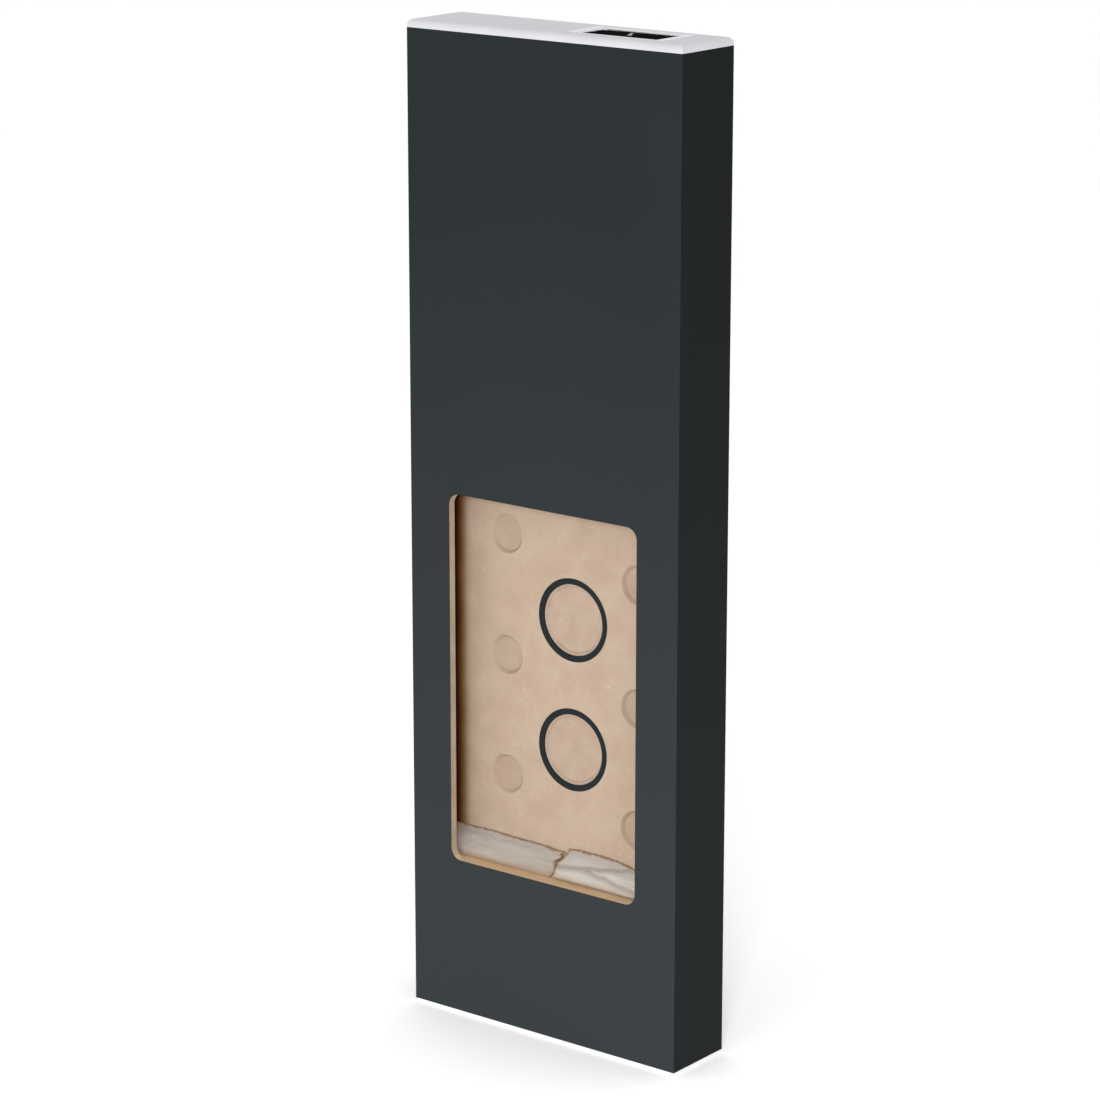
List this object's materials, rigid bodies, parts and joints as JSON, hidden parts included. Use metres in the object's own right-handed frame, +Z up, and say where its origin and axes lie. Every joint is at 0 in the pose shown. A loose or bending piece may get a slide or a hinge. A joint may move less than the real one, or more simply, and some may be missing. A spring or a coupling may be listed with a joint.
{
  "type": "pedestrian traffic light",
  "caption": "Slim upright pedestrian signal case with a low window onto ringed round aspects, a white cap with a lifting cable hatch, and a full-height rear service door.",
  "frame": {"origin": "middle of the underside, on the surface that the signal stands on", "axes": "+X to the right seen from the front, +Y from the window towards the rear door, +Z up"},
  "size_m": [0.326, 0.08, 1.0015],
  "materials": {
    "coated_board": "matte anthracite coat over 8 mm fibreboard, beige on the cut edges of the window",
    "white_cap": "satin white",
    "fibreboard": "bare beige fibreboard",
    "wadding": "torn grey-white fibre wadding",
    "ring_rubber": "matte black",
    "diffuser": "matte beige, unlit",
    "black_plastic": "fine matte black",
    "circuit": "white solder mask",
    "emitter": "clear resin over phosphor",
    "sink_aluminium": "satin anodised",
    "zinc_steel": "bright zinc plated",
    "chrome": "polished",
    "bush_brass": "plain turned",
    "terminal_plastic": "grey",
    "lead_sheath": "black sheath"
  },
  "bodies": {
    "case": {"aspect_disc_lower": "diffuser", "aspect_disc_upper": "diffuser", "aspect_ring_lower": "ring_rubber", "aspect_ring_upper": "ring_rubber", "base_blocks": "fibreboard", "base_grommet": "ring_rubber", "base_plate": "white_cap", "base_screws": "zinc_steel", "batten_left": "fibreboard", "batten_right": "fibreboard", "bead_screws": "zinc_steel", "cable_glands": "black_plastic", "cable_well": "zinc_steel", "cap_blocks": "fibreboard", "cap_screws": "zinc_steel", "cup_screws": "zinc_steel", "door_pins": "zinc_steel", "door_seal": "ring_rubber", "feed_lead": "lead_sheath", "front_panel": "coated_board", "hatch_frame": "sink_aluminium", "hatch_pin": "zinc_steel", "hatch_seal": "ring_rubber", "inner_plate": "fibreboard", "lead_lower": "lead_sheath", "lead_upper": "lead_sheath", "led_board_lower": "circuit", "led_board_upper": "circuit", "led_cup_lower": "black_plastic", "led_cup_upper": "black_plastic", "led_driver": "sink_aluminium", "led_emitters": "emitter", "led_heatsink_lower": "sink_aluminium", "led_heatsink_upper": "sink_aluminium", "lower_shelf": "fibreboard", "mounting_rail": "zinc_steel", "plate_screws": "zinc_steel", "rail_blocks": "fibreboard", "side_panel_left": "coated_board", "side_panel_right": "coated_board", "stop_beads": "fibreboard", "stop_strips": "zinc_steel", "terminal_block": "terminal_plastic", "top_cap": "white_cap", "upper_shelf": "fibreboard", "wadding_left": "wadding", "wadding_right": "wadding", "well_screws": "zinc_steel"},
    "door": {"rear_door": "coated_board", "door_bushes": "bush_brass", "lock_housings": "chrome", "lock_nuts": "zinc_steel"},
    "lock_upper": {"lock_upper_plug": "chrome", "lock_upper_cam": "zinc_steel", "lock_upper_cam_screw": "zinc_steel"},
    "lock_lower": {"lock_lower_plug": "chrome", "lock_lower_cam": "zinc_steel", "lock_lower_cam_screw": "zinc_steel"},
    "hatch": {"hatch_flap": "black_plastic", "hatch_tab": "chrome"}
  },
  "joints": [
    {"name": "door_swing", "type": "hinge", "parent": "case", "child": "door", "pos_m": [-0.1505, 0.036, 0.5], "axis": [0, 0, 1], "range_deg": [0, 90]},
    {"name": "lock_upper_turn", "type": "hinge", "parent": "door", "child": "lock_upper", "pos_m": [0.122, 0.036, 0.7], "axis": [0, 1, 0], "range_deg": [0, 90]},
    {"name": "lock_lower_turn", "type": "hinge", "parent": "door", "child": "lock_lower", "pos_m": [0.122, 0.036, 0.3], "axis": [0, 1, 0], "range_deg": [0, 90]},
    {"name": "hatch_lift", "type": "hinge", "parent": "case", "child": "hatch", "pos_m": [0.074, 0.0192, 0.996], "axis": [-1, 0, 0], "range_deg": [0, 90]}
  ]
}
